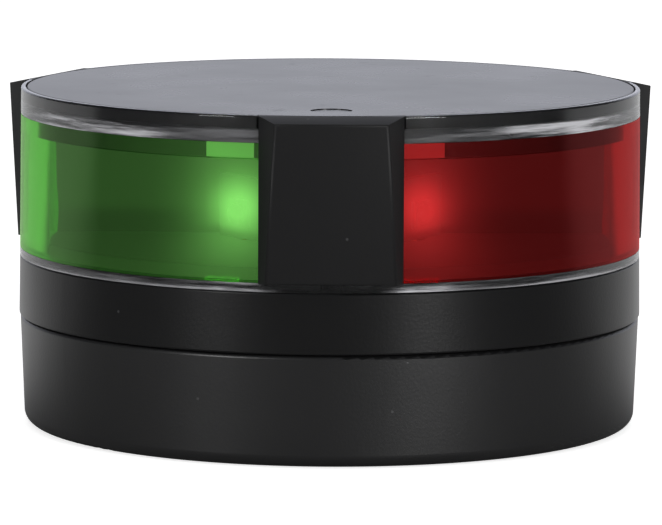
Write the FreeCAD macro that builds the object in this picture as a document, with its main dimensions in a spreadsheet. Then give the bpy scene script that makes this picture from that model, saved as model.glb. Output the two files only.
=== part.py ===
import FreeCAD, Part
import os
import re

import Sketcher

# Compact bi-colour navigation light on a twist-off deck base.
# Millimetres. +Z is up, the bow is at -Y, port (red) at +X and starboard (green) at -X.
# The origin is the centre of the cable hole in the mounting face.
# Azimuth 0 is dead ahead and grows towards port, so a turn about +Z adds to it.

DIMENSIONS = [
    # overall stack, from the deck up
    ("base_height", 14.0, "mount base, deck to seam"),
    ("ring_height", 7.8, "head ring, seam to lens"),
    ("flange_height", 1.1, "clear foot of the lens cap"),
    ("window_height", 17.25, "coloured windows"),
    ("plate_thickness", 1.7, "clear top plate"),
    ("rim_height", 1.65, "clear rim round the top disc"),
    # round sizes
    ("lens_radius", 40.0, "lens cap at its top edge"),
    ("lens_draft", 0.15, "how much wider the lens cap is at its foot"),
    ("lens_wall", 3.6, "coloured wall"),
    ("rebate_wall", 2.6, "coloured wall beside the core flange"),
    ("ring_flare", 0.1, "how much wider the head ring is at the seam than at the lens"),
    ("seam_step", 0.15, "how far the head ring stands out over the mount base"),
    ("base_taper", 0.55, "how much narrower the mount base is at the deck"),
    ("base_round", 1.6, "rounded foot of the mount base"),
    ("rim_width", 0.65, "clear rim, seen from above"),
    ("rim_round", 0.25, "rounded edge of the clear rim"),
    ("ring_round", 0.25, "rounded edges of the head ring"),
    ("lip_round", 0.45, "rounded top edge of the mount base"),
    ("disc_gap", 0.15, "gap round the top disc"),
    ("disc_round", 0.2, "rounded edge of the top disc"),
    ("fit_gap", 0.03, "gap between bonded mouldings"),
    ("bite", 0.5, "how far a lug, rib or post reaches into its wall"),
    ("clear_past", 1.0, "how far a cutting outline runs past the solid"),
    # light sectors and what hides their edges
    ("sector", 112.5, "arc of each sidelight"),
    ("screen_half_width", 8.9, "screen where it meets the lens"),
    ("screen_face_top", 6.85, "half width of the screen face at the top"),
    ("screen_face_foot", 8.0, "half width of the screen face at the foot"),
    ("screen_lap", 0.925, "how far a screen laps over the window beside it"),
    ("screen_proud_top", 2.75, "how far the screen stands out at the top"),
    ("screen_proud_foot", 1.0, "how far the screen stands out at the foot"),
    ("screen_drop", 0.75, "fall of the screen top towards its face"),
    ("screen_edge", 0.35, "thin edge of a screen, beside the lens"),
    ("screen_overlap", 0.05, "how far a screen reaches below its window"),
    ("screen_back_gap", 0.04, "gap between a screen and the lens"),
    ("tongue_width", 6.0, "tongue on the back of a screen"),
    ("tongue_depth", 1.2, "tongue, into the lens"),
    ("tongue_foot", 3.0, "tongue's lower end above the screen's foot"),
    ("tongue_length", 12.0, "tongue, top to bottom"),
    # top disc
    ("dimple_radius", 2.6, "dimple towards the bow"),
    ("dimple_depth", 0.12, "dimple"),
    ("dimple_margin", 4.2, "dimple from the edge of the disc"),
    # mount base
    ("base_wall", 2.9, "wall of the mount base"),
    ("base_floor", 2.5, "floor of the mount base"),
    ("screw_spacing", 52.0, "mounting screws"),
    ("screw_hole_radius", 2.2, "mounting screw hole"),
    ("screw_seat_radius", 4.4, "mounting screw seat"),
    ("screw_seat_depth", 1.0, "mounting screw seat"),
    ("gasket_margin", 1.55, "deck gasket from the rounded foot"),
    ("gasket_width", 3.0, "deck gasket"),
    ("gasket_thickness", 1.2, "deck gasket"),
    ("cable_radius", 3.0, "cable hole in the grommet"),
    ("grommet_radius", 6.0, "grommet in the base floor"),
    ("grommet_lip", 7.5, "grommet lip under the floor"),
    ("grommet_lip_depth", 1.0, "grommet lip"),
    ("grommet_collar", 8.0, "grommet collar on the floor"),
    ("grommet_collar_height", 1.1, "grommet collar"),
    ("grommet_nose", 4.6, "grommet at its top"),
    ("grommet_height", 7.5, "grommet, deck to top"),
    # bayonet
    ("lug_angle", 24.0, "each bayonet lug"),
    ("lug_reach", 1.45, "each bayonet lug, radially"),
    ("lug_height", 2.3, "each bayonet lug"),
    ("lug_drop", 5.1, "underside of the base lugs below the seam"),
    ("lug_play", 0.2, "play between the lugs, up and down"),
    ("lug_gap", 0.25, "clearance between lugs and the wall they pass"),
    ("twist", 30.0, "turn that frees the head"),
    ("stop_angle", 3.0, "each stop rib"),
    ("stop_play", 0.6, "play at each stop, in degrees"),
    ("seam_gap", 0.12, "gap between head ring and mount base"),
    ("shoulder_gap", 0.15, "head shoulder in the base"),
    # head ring
    ("skirt_wall", 2.1, "skirt"),
    ("skirt_lip", 0.4, "skirt below its lugs"),
    ("shoulder_clearance", 0.3, "seal shoulder above the base lugs"),
    ("ring_wall", 2.3, "outer wall of the head ring"),
    ("ledge_thickness", 1.9, "ledge between skirt and wall"),
    ("deck_thickness", 1.7, "deck under the lens"),
    ("deck_sink", 0.5, "deck below the lens seat"),
    ("seal_section", 1.4, "head seal, across"),
    ("seal_stand", 0.05, "head seal, out of its groove"),
    ("groove_play", 0.1, "head seal groove, wider than the seal"),
    ("groove_land", 0.45, "shoulder under the head seal groove"),
    ("lens_seal_inset", 0.9, "lens seal from the inner face of the lens wall"),
    ("lens_seal_width", 1.5, "lens seal"),
    ("lens_seal_thickness", 0.7, "lens seal"),
    # light core
    ("core_gap", 0.1, "core inside the lens wall"),
    ("core_floor_top", 2.7, "core floor above the lens seat"),
    ("core_floor_thickness", 2.0, "core floor"),
    ("core_skirt", 2.0, "core's standing edge"),
    ("core_flange_height", 1.9, "core flange"),
    ("core_flange_drop", 0.17, "core flange below the top plate"),
    ("core_flange_gap", 0.15, "core flange inside the rebate"),
    ("bulkhead_front", 1.0, "bulkhead face ahead of the axis"),
    ("bulkhead_thickness", 2.4, "bulkhead"),
    ("divider_thickness", 1.5, "divider between the colours"),
    ("divider_gap", 0.7, "divider's forward end from the bow boss"),
    ("port_tab_azimuth", 16.7, "port white tab in the core flange"),
    ("starboard_tab_azimuth", -19.0, "starboard white tab in the core flange"),
    ("tab_angle", 9.3, "white tab"),
    ("tab_depth", 2.4, "white tab, radially"),
    # screwed joint between lens cap and head ring
    ("boss_radius", 3.0, "cap boss"),
    ("boss_inset", 2.4, "cap boss from the inner face of the lens wall"),
    ("web_angle", 4.0, "web between boss and column"),
    ("boss_slot_angle", 13.5, "slot in the core round a boss"),
    ("boss_slot_gap", 0.4, "slot in the core behind a boss"),
    ("cap_screw_radius", 1.1, "cap screw shank"),
    ("cap_screw_length", 13.0, "cap screw below its head"),
    ("cap_screw_head", 2.3, "cap screw head radius"),
    ("cap_screw_head_height", 1.5, "cap screw head"),
    ("thread_gap", 0.05, "clearance round a screw shank"),
    ("hole_gap", 0.25, "clearance of a screw in a plain hole"),
    # electronics
    ("board_gap", 1.0, "driver board inside the skirt"),
    ("board_thickness", 1.6, "driver board"),
    ("board_rise", 0.6, "driver board's underside above the seam"),
    ("post_inset", 3.0, "driver board posts from the board's edge"),
    ("post_radius", 2.4, "driver board posts"),
    ("board_screw_radius", 0.8, "driver board screw shank"),
    ("board_screw_head", 1.6, "driver board screw head radius"),
    ("board_screw_head_height", 1.1, "driver board screw head"),
    ("board_screw_grip", 2.2, "driver board screw, into its post"),
    ("pilot_spare", 0.4, "pilot hole beyond its screw"),
    ("track_thickness", 0.3, "contact rings"),
    ("track_width", 3.0, "contact rings"),
    ("inner_track", 12.0, "inner contact ring"),
    ("outer_track", 19.0, "outer contact ring"),
    ("contact_gap", 0.1, "contact leaf under its ring"),
    ("leaf_thickness", 0.4, "contact leaf"),
    ("leaf_width", 3.0, "contact leaf"),
    ("leaf_inset", 0.2, "contact leaf from the edges of the block"),
    ("leaf_heel", 2.6, "where a leaf starts to rise, from the middle of the block"),
    ("leaf_tip", 1.6, "contact leaf's flat tip"),
    ("leaf_end", 0.9, "contact leaf's turned-down end"),
    ("led_reach", 13.5, "front of an LED board from the axis"),
    ("led_board_width", 11.0, "LED board"),
    ("led_board_height", 8.0, "LED board"),
    ("led_board_thickness", 1.0, "LED board"),
    ("led_height", 3.3, "LED above the core floor"),
    ("led_size", 3.5, "LED package"),
    ("led_thickness", 0.7, "LED package"),
    ("led_dome", 1.35, "LED dome"),
    ("pin_radius", 0.32, "board pins"),
    ("pin_pitch", 2.54, "board pins"),
    ("pin_rise", 3.0, "board pins above the core floor"),
    ("pin_hole", 2.2, "pin hole in deck and core floor"),
    ("inductor_y", 14.0, "inductor from the axis"),
    ("inductor_radius", 4.0, "inductor"),
    ("inductor_height", 2.8, "inductor"),
    # terminal block
    ("block_length", 18.0, "terminal block, side to side"),
    ("block_width", 9.0, "terminal block, fore and aft"),
    ("block_height", 7.5, "terminal block"),
    ("block_front", 12.6, "terminal block from the axis"),
    ("pole_pitch", 9.0, "terminal block's two poles"),
    ("wire_hole", 1.6, "wire hole radius"),
    ("wire_hole_height", 2.6, "wire hole above the base floor"),
    ("clamp_radius", 1.7, "clamp screw"),
    ("clamp_length", 3.0, "clamp screw's well"),
    ("clamp_sink", 0.4, "clamp screw below the top of the block"),
    ("screw_slot", 0.45, "driver slot across a screw head"),
    ("clip_thickness", 1.4, "clips beside the terminal block"),
    ("clip_width", 4.0, "clips beside the terminal block"),
    ("clip_height", 5.0, "clips beside the terminal block"),
]

doc = FreeCAD.newDocument("navigation_light")
sheet = doc.addObject("Spreadsheet::Sheet", "Dimensions")
for row, (alias, size, note) in enumerate(DIMENSIONS, start=1):
    sheet.set(f"A{row}", note)
    sheet.set(f"B{row}", str(size))
    sheet.setAlias(f"B{row}", alias)

# Levels and radii that follow from the driving sizes.
DERIVED = {
    "lens_seat": "base_height + ring_height",
    "window_foot": "lens_seat + flange_height",
    "window_top": "window_foot + window_height",
    "plate_top": "window_top + plate_thickness",
    "total_height": "plate_top + rim_height",
    "lens_height": "total_height - lens_seat",
    "lens_inner": "lens_radius - lens_wall",
    "column_angle": "2 * asin((screen_half_width - screen_lap) / lens_radius) / 1 deg",
    "rebate_inner": "lens_radius - rebate_wall",
    "rim_inner": "lens_radius - rim_width",
    "disc_radius": "rim_inner - disc_gap",
    "dimple_reach": "disc_radius - dimple_radius - dimple_margin",
    "ring_radius": "lens_radius + lens_draft",
    "base_radius": "ring_radius + ring_flare - seam_step",
    "base_inner": "base_radius - base_wall",
    "gasket_outer": "base_radius - base_taper - base_round - gasket_margin",
    "gasket_inner": "gasket_outer - gasket_width",
    "lug_floor": "base_height - lug_drop",
    "head_lug_top": "lug_floor - lug_play",
    "skirt_radius": "base_inner - lug_reach - lug_gap",
    "skirt_inner": "skirt_radius - skirt_wall",
    "skirt_foot": "head_lug_top - lug_height - skirt_lip",
    "shoulder_foot": "lug_floor + lug_height + shoulder_clearance",
    "shoulder_radius": "base_inner - shoulder_gap",
    "seal_groove_foot": "shoulder_foot + groove_land",
    "seal_groove_top": "seal_groove_foot + seal_section + groove_play",
    "lens_seal_inner": "lens_inner + lens_seal_inset",
    "lens_seal_outer": "lens_seal_inner + lens_seal_width",
    "deck_top": "lens_seat - deck_sink",
    "deck_foot": "deck_top - deck_thickness",
    "core_floor": "lens_seat + core_floor_top",
    "core_radius": "lens_inner - core_gap",
    "flange_top": "window_top - core_flange_drop",
    "flange_foot": "flange_top - core_flange_height",
    "rebate_foot": "flange_foot - core_flange_gap",
    "flange_radius": "rebate_inner - core_flange_gap",
    "boss_reach": "lens_inner - boss_radius - boss_inset",
    "divider_end": "boss_reach - boss_radius - divider_gap",
    "board_radius": "skirt_inner - board_gap",
    "board_foot": "base_height + board_rise",
    "board_top": "board_foot + board_thickness",
    "post_reach": "board_radius - post_radius - post_inset",
    "screen_foot": "window_foot - screen_overlap",
    "block_top": "base_floor + block_height",
}
for row, (alias, formula) in enumerate(DERIVED.items(), start=len(DIMENSIONS) + 2):
    sheet.set(f"A{row}", "derived")
    sheet.set(f"B{row}", "=" + formula)
    sheet.setAlias(f"B{row}", alias)
doc.recompute()

ALIASES = [alias for alias, _, _ in DIMENSIONS] + list(DERIVED)
WORD = re.compile(r"\b(" + "|".join(ALIASES) + r")\b")


def linked(formula):
    """The formula with every size read from the sheet."""
    return WORD.sub(r"Dimensions.\1", str(formula))


def value(formula):
    return float(sheet.evalExpression(linked(formula)))


def bind(thing, **formulas):
    """Binds properties of an object to formulas on the sheet."""
    for name, formula in formulas.items():
        thing.setExpression(name.replace("__", "."), linked(formula))


def place(thing, x="0", y="0", z="0", turn=None, axis=(0, 0, 1)):
    """Puts an object at a point, turned about an axis, both bound to the sheet."""
    where = FreeCAD.Vector(value(x), value(y), value(z))
    angle = 0.0 if turn is None else value(turn)
    thing.Placement = FreeCAD.Placement(where, FreeCAD.Rotation(FreeCAD.Vector(*axis), angle))
    bind(thing, Placement__Base__x=x, Placement__Base__y=y, Placement__Base__z=z)
    if turn is not None:
        bind(thing, Placement__Rotation__Angle=turn)
    return thing


def draft_radius(level):
    """The lens cap's outer radius at a level."""
    return f"lens_radius + lens_draft * (total_height - ({level})) / lens_height"


parts = {}


def add_part(name, thing):
    thing.Label = name
    parts[name] = thing
    return thing


# ---------------------------------------------------------------- sketched bodies


def new_body(name):
    return add_part(name, doc.addObject("PartDesign::Body", name + "_body"))


def origin_plane(body, role):
    return next(f for f in body.Origin.OriginFeatures if f.Role == role)


def new_sketch(body, name, role, lift=None, turn=None):
    """A sketch on one of the body's origin planes, lifted along it or turned about +Z."""
    sketch = body.newObject("Sketcher::SketchObject", name)
    sketch.AttachmentSupport = (origin_plane(body, role), [""])
    sketch.MapMode = "FlatFace"
    if lift is not None:
        bind(sketch, AttachmentOffset__Base__z=lift)
    if turn is not None:
        turned = FreeCAD.Rotation(FreeCAD.Vector(0, 1, 0), value(turn))
        sketch.AttachmentOffset = FreeCAD.Placement(FreeCAD.Vector(), turned)
        bind(sketch, AttachmentOffset__Rotation__Angle=turn)
    return sketch


def fix_point(sketch, curve, point, x, y):
    """Holds one point of a sketched curve at bound coordinates."""
    for kind, formula in (("DistanceX", x), ("DistanceY", y)):
        number = sketch.addConstraint(Sketcher.Constraint(kind, curve, point, value(formula)))
        sketch.setExpression(f"Constraints[{number}]", linked(formula))


def outline(body, name, role, corners, lift=None, turn=None):
    """A closed outline with straight sides between bound corners."""
    sketch = new_sketch(body, name, role, lift, turn)
    points = [FreeCAD.Vector(value(x), value(y), 0) for x, y in corners]
    count = len(points)
    for i in range(count):
        sketch.addGeometry(Part.LineSegment(points[i], points[(i + 1) % count]), False)
    for i in range(count):
        sketch.addConstraint(Sketcher.Constraint("Coincident", i, 2, (i + 1) % count, 1))
    for i, (x, y) in enumerate(corners):
        fix_point(sketch, i, 1, x, y)
    return sketch


def circles(body, name, spots, lift=None):
    """Circles on the level plane, each a bound centre and radius."""
    sketch = new_sketch(body, name, "XY_Plane", lift)
    for i, (x, y, radius) in enumerate(spots):
        middle = FreeCAD.Vector(value(x), value(y), 0)
        sketch.addGeometry(Part.Circle(middle, FreeCAD.Vector(0, 0, 1), value(radius)), False)
        fix_point(sketch, i, 3, x, y)
        number = sketch.addConstraint(Sketcher.Constraint("Radius", i, value(radius)))
        sketch.setExpression(f"Constraints[{number}]", linked(radius))
    return sketch


def rectangle(x_low, y_low, x_high, y_high):
    return [(x_low, y_low), (x_high, y_low), (x_high, y_high), (x_low, y_high)]


def revolve(body, sketch, angle=None, cut=False):
    """Turns a sketch about +Z: all the way round, or by an angle centred on the sketch."""
    before = body.Shape.Volume if cut else 0.0
    kind = "PartDesign::Groove" if cut else "PartDesign::Revolution"
    feature = body.newObject(kind, sketch.Name + "_turned")
    feature.Profile = sketch
    feature.ReferenceAxis = (sketch, ["V_Axis"])
    if angle is None:
        feature.Angle = 360.0
    else:
        feature.Midplane = True
        bind(feature, Angle=angle)
    sketch.Visibility = False
    doc.recompute()
    if cut and not body.Shape.Volume < before:
        raise ValueError(f"{feature.Name} removes nothing")
    return feature


def extrude(body, sketch, length, cut=False, upward=True):
    """Pads or pockets a level sketch up or down by a bound length."""
    before = body.Shape.Volume if body.Tip else 0.0
    kind = "PartDesign::Pocket" if cut else "PartDesign::Pad"
    feature = body.newObject(kind, sketch.Name + "_raised")
    feature.Profile = sketch
    bind(feature, Length=length)
    feature.Reversed = upward if cut else not upward
    sketch.Visibility = False
    doc.recompute()
    grew = body.Shape.Volume - before
    if (grew >= 0) if cut else (grew <= 0):
        raise ValueError(f"{feature.Name} changes the body by {grew:.3f} mm3")
    return feature


def round_edges(body, name, radius, chosen):
    """Rounds the edges of the body's tip that a test picks."""
    tip = body.Tip
    edges = [f"Edge{i}" for i, e in enumerate(tip.Shape.Edges, start=1) if chosen(e)]
    if not edges:
        raise ValueError(f"{name} finds no edges")
    feature = body.newObject("PartDesign::Fillet", name)
    feature.Base = (tip, edges)
    bind(feature, Radius=radius)
    doc.recompute()
    return feature


def is_ring_edge(edge, level, radius):
    """True for a full or part circle about +Z at a level and radius."""
    if not hasattr(edge.Curve, "Radius") or not hasattr(edge.Curve, "Center"):
        return False
    same_level = abs(edge.Curve.Center.z - value(level)) < 0.01
    on_axis = abs(edge.Curve.Center.x) + abs(edge.Curve.Center.y) < 0.01
    return same_level and on_axis and abs(edge.Curve.Radius - value(radius)) < 0.01


def at_azimuth(angle, reach):
    """The x and y formulas of a point at an azimuth and a distance from the axis."""
    return f"{reach} * sin({angle})", f"-{reach} * cos({angle})"


# Where the three screens, their columns and the cap bosses stand.
SCREENS = {"bow_screen": "0", "port_screen": "sector", "starboard_screen": "-sector"}
SIDES = {"port": "sector / 2", "starboard": "-sector / 2"}
# Azimuths of the bayonet lugs and of the driver board's posts.
LUGS = ("0", "120", "240")
POSTS = ("30", "150", "270")


# ---------------------------------------------------------------- mount base


def make_mount_base():
    body = new_body("mount_base")
    foot = "base_radius - base_taper"
    wall = [
        ("grommet_radius", "grommet_lip_depth"),
        ("grommet_lip", "grommet_lip_depth"),
        ("grommet_lip", "0"),
        ("gasket_inner", "0"),
        ("gasket_inner", "gasket_thickness"),
        ("gasket_outer", "gasket_thickness"),
        ("gasket_outer", "0"),
        (foot, "0"),
        ("base_radius", "base_height"),
        ("base_inner", "base_height"),
        ("base_inner", "base_floor"),
        ("grommet_radius", "base_floor"),
    ]
    revolve(body, outline(body, "base_wall_outline", "XZ_Plane", wall))
    round_edges(body, "base_foot_round", "base_round", lambda e: is_ring_edge(e, "0", foot))
    round_edges(
        body, "base_lip_round", "lip_round", lambda e: is_ring_edge(e, "base_height", "base_radius")
    )
    holes = [(x, "0", "screw_hole_radius") for x in ("screw_spacing / 2", "-screw_spacing / 2")]
    extrude(body, circles(body, "screw_holes", holes), "base_floor", cut=True)
    seats = [(x, y, "screw_seat_radius") for x, y, _ in holes]
    sketch = circles(body, "screw_seats", seats, lift="base_floor")
    extrude(body, sketch, "screw_seat_depth", cut=True, upward=False)
    for side in ("", "-"):
        near = f"{side}(block_length / 2 + fit_gap)"
        far = f"{side}(block_length / 2 + fit_gap + clip_thickness)"
        middle = "block_front + block_width / 2"
        low, high = f"{middle} - clip_width / 2", f"{middle} + clip_width / 2"
        x_low, x_high = (far, near) if side else (near, far)
        name = "clip_aft_outline" if side else "clip_outline"
        corners = rectangle(x_low, low, x_high, high)
        extrude(body, outline(body, name, "XY_Plane", corners, lift="base_floor"), "clip_height")
    lug_inner, lug_top = "base_inner - lug_reach", "lug_floor + lug_height"
    lug = rectangle(lug_inner, "lug_floor", "base_inner + bite", lug_top)
    stop = rectangle(lug_inner, "skirt_foot", "base_inner + bite", lug_top)
    shut = "-(lug_angle / 2 + stop_play + stop_angle / 2)"
    open_ = "twist + lug_angle / 2 + stop_play + stop_angle / 2"
    for number, turn in enumerate(LUGS, start=1):
        revolve(body, outline(body, f"lug_{number}", "XZ_Plane", lug, turn=turn), "lug_angle")
        for word, offset in (("shut", shut), ("open", open_)):
            rib = outline(body, f"{word}_stop_{number}", "XZ_Plane", stop, turn=f"{turn} + {offset}")
            revolve(body, rib, "stop_angle")


def make_ring(name, inner, outer, foot, top):
    """A plain flat ring, such as a gasket."""
    body = new_body(name)
    revolve(body, outline(body, name + "_outline", "XZ_Plane", rectangle(inner, foot, outer, top)))


def make_grommet():
    body = new_body("cable_grommet")
    side = [
        ("cable_radius", "0"),
        ("grommet_lip - fit_gap", "0"),
        ("grommet_lip - fit_gap", "grommet_lip_depth - fit_gap"),
        ("grommet_radius - fit_gap", "grommet_lip_depth - fit_gap"),
        ("grommet_radius - fit_gap", "base_floor"),
        ("grommet_collar", "base_floor"),
        ("grommet_collar", "base_floor + grommet_collar_height"),
        ("grommet_nose", "grommet_height"),
        ("cable_radius", "grommet_height"),
    ]
    revolve(body, outline(body, "grommet_outline", "XZ_Plane", side))


def make_box(name, low, size, turn=None):
    """A block from its lowest corner and its size, both bound."""
    box = doc.addObject("Part::Box", name)
    bind(box, Length=size[0], Width=size[1], Height=size[2])
    return place(box, *low, turn=turn)


def make_rod(name, x, y, foot, radius, length):
    """An upright rod."""
    rod = doc.addObject("Part::Cylinder", name)
    bind(rod, Radius=radius, Height=length)
    return place(rod, x, y, foot)


def cut(name, base, tools):
    """The base less each tool in turn."""
    for number, tool in enumerate(tools, start=1):
        removed = doc.addObject("Part::Cut", f"{name}_{number}")
        removed.Base = base
        removed.Tool = tool
        base = removed
    return base


def fuse(name, shapes):
    joined = doc.addObject("Part::MultiFuse", name)
    joined.Shapes = shapes
    return joined


def group(name, members):
    """Separate solids in one node."""
    together = doc.addObject("Part::Compound", name)
    together.Links = members
    return add_part(name, together)


def make_terminals():
    """Two-pole block with its clamp screws and the sprung leaves that feed the head."""
    block = make_box(
        "block_blank",
        ("-block_length / 2", "block_front", "base_floor"),
        ("block_length", "block_width", "block_height"),
    )
    tools = []
    screws = []
    for word, x in (("plus", "-pole_pitch / 2"), ("minus", "pole_pitch / 2")):
        wire = doc.addObject("Part::Cylinder", f"{word}_wire_hole")
        bind(wire, Radius="wire_hole", Height="block_width + 2 * clear_past")
        level = "base_floor + wire_hole_height"
        place(wire, x, "block_front - clear_past", level, turn="-90", axis=(1, 0, 0))
        middle = "block_front + block_width / 2"
        foot = "block_top - clamp_length"
        bore = "clamp_radius + thread_gap"
        well = make_rod(f"{word}_clamp_well", x, middle, foot, bore, "clamp_length + clear_past")
        tools += [wire, well]
        length = "clamp_length - clamp_sink"
        screw = make_rod(f"{word}_clamp_rod", x, middle, foot, "clamp_radius", length)
        slot = make_box(
            f"{word}_clamp_slot",
            (
                f"{x} - clamp_radius - clear_past",
                f"{middle} - screw_slot / 2",
                "block_top - clamp_sink - screw_slot",
            ),
            ("2 * (clamp_radius + clear_past)", "screw_slot", "screw_slot + clear_past"),
        )
        screws.append(cut(f"{word}_clamp_screw", screw, [slot]))
    add_part("terminal_block", cut("terminal_block", block, tools))
    group("clamp_screws", screws)

    # Each leaf lies on the block beside its clamp, then rises to a rounded tip under its ring.
    tip = "board_foot - track_thickness - contact_gap"
    leaves = []
    for word, x, side, target in (
        ("plus", "-block_length / 2 + leaf_inset", "1", "inner_track + track_width / 2"),
        ("minus", "block_length / 2 - leaf_width - leaf_inset", "-1", "outer_track + track_width / 2"),
    ):
        reach = f"sqrt(({target}) ^ 2 - ({x} + leaf_width / 2) ^ 2)"
        body = doc.addObject("PartDesign::Body", f"{word}_leaf_body")
        sketch = outline(body, f"{word}_leaf_outline", "YZ_Plane", leaf_outline(reach, side, tip), lift=x)
        pad = body.newObject("PartDesign::Pad", f"{word}_leaf")
        pad.Profile = sketch
        bind(pad, Length="leaf_width")
        leaves.append(body)
    group("contact_leaves", leaves)


def leaf_outline(reach, side, tip):
    """A bent strip seen from the side: foot on the block, ramp, flat tip and turned-down end."""
    middle = "block_front + block_width / 2"
    foot = f"{middle} + {side} * (block_width / 2 - leaf_inset)"
    heel = f"{middle} + {side} * leaf_heel"
    under = f"{tip} - leaf_thickness"
    return [
        (foot, "block_top"),
        (foot, "block_top + leaf_thickness"),
        (heel, "block_top + leaf_thickness"),
        (f"{reach} + {side} * leaf_tip / 2", tip),
        (f"{reach} - {side} * leaf_tip / 2", tip),
        (f"{reach} - {side} * (leaf_tip / 2 + leaf_end)", f"{tip} - leaf_end"),
        (f"{reach} - {side} * (leaf_tip / 2 + leaf_end / 2)", f"{under} - leaf_end"),
        (f"{reach} - {side} * leaf_tip / 3", under),
        (f"{reach} + {side} * leaf_tip / 3", under),
        (f"{heel} - {side} * leaf_thickness / 2", "block_top"),
    ]


# ---------------------------------------------------------------- head


def make_head_ring():
    body = new_body("head_ring")
    foot = "base_height + seam_gap"
    ledge_top = f"{foot} + ledge_thickness"
    hollow = "ring_radius - ring_wall"
    groove_floor = "shoulder_radius - seal_section"
    side = [
        ("skirt_inner", "skirt_foot"),
        ("skirt_radius", "skirt_foot"),
        ("skirt_radius", "shoulder_foot"),
        ("shoulder_radius", "shoulder_foot"),
        ("shoulder_radius", "seal_groove_foot"),
        (groove_floor, "seal_groove_foot"),
        (groove_floor, "seal_groove_top"),
        ("shoulder_radius", "seal_groove_top"),
        ("shoulder_radius", foot),
        ("ring_radius + ring_flare", foot),
        ("ring_radius", "lens_seat"),
        ("lens_seal_outer", "lens_seat"),
        ("lens_seal_outer", "lens_seat - lens_seal_thickness"),
        ("lens_seal_inner", "lens_seat - lens_seal_thickness"),
        ("lens_seal_inner", "lens_seat"),
        ("core_radius + core_gap", "lens_seat"),
        ("core_radius + core_gap", "deck_top"),
        ("0", "deck_top"),
        ("0", "deck_foot"),
        (hollow, "deck_foot"),
        (hollow, ledge_top),
        ("skirt_inner", ledge_top),
    ]
    revolve(body, outline(body, "ring_outline", "XZ_Plane", side))
    round_edges(
        body, "seam_round", "ring_round", lambda e: is_ring_edge(e, foot, "ring_radius + ring_flare")
    )
    round_edges(body, "ring_top_round", "ring_round", lambda e: is_ring_edge(e, "lens_seat", "ring_radius"))
    lug_foot, lug_outer = "head_lug_top - lug_height", "skirt_radius + lug_reach"
    lug = rectangle("skirt_radius - bite", lug_foot, lug_outer, "head_lug_top")
    for number, turn in enumerate(LUGS, start=1):
        revolve(body, outline(body, f"head_lug_{number}", "XZ_Plane", lug, turn=turn), "lug_angle")
    posts = [(*at_azimuth(angle, "post_reach"), "post_radius") for angle in POSTS]
    extrude(body, circles(body, "board_posts", posts, lift="board_top"), "deck_foot - board_top")
    pilots = [(x, y, "board_screw_radius + thread_gap") for x, y, _ in posts]
    depth = "board_screw_grip + pilot_spare"
    extrude(body, circles(body, "post_pilots", pilots, lift="board_top"), depth, cut=True)
    hole = "cap_screw_radius + hole_gap"
    holes = [(*at_azimuth(angle, "boss_reach"), hole) for angle in SCREENS.values()]
    holes += [(*at_azimuth(angle, pin_reach()), "pin_hole") for angle in SIDES.values()]
    extrude(body, circles(body, "deck_holes", holes, lift="deck_foot"), "deck_thickness", cut=True)


def pin_reach():
    """How far from the axis the board pins stand, just behind each LED board."""
    return "(led_reach - led_board_thickness - pin_radius - fit_gap)"


def make_head_seal():
    seal = doc.addObject("Part::Torus", "head_seal_ring")
    bind(seal, Radius1="shoulder_radius - seal_section / 2 + seal_stand", Radius2="seal_section / 2")
    place(seal, z="(seal_groove_foot + seal_groove_top) / 2")
    add_part("head_seal", seal)


def wall_outline():
    """Section through the lens wall, with the rebate that takes the core flange."""
    low, high = "window_foot + fit_gap", "window_top - fit_gap"
    return [
        ("lens_inner", low),
        (draft_radius(low), low),
        (draft_radius(high), high),
        ("rebate_inner", high),
        ("rebate_inner", "rebate_foot"),
        ("lens_inner", "rebate_foot"),
    ]


def make_window(name, azimuth):
    """One coloured window between two clear columns."""
    body = new_body(name)
    sketch = outline(body, name + "_outline", "XZ_Plane", wall_outline(), turn=f"{azimuth} - 90")
    gap_angle = "2 * fit_gap / lens_radius * 180 / pi"
    revolve(body, sketch, f"sector - column_angle - {gap_angle}")


def make_rear_blind():
    body = new_body("rear_blind")
    low, high = "window_foot + fit_gap", "window_top - fit_gap"
    side = [
        ("rebate_inner", low),
        (draft_radius(low), low),
        (draft_radius(high), high),
        ("rebate_inner", high),
    ]
    gap_angle = "2 * fit_gap / lens_radius * 180 / pi"
    sketch = outline(body, "blind_outline", "XZ_Plane", side, turn="90")
    revolve(body, sketch, f"360 - 2 * sector - column_angle - {gap_angle}")


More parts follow.
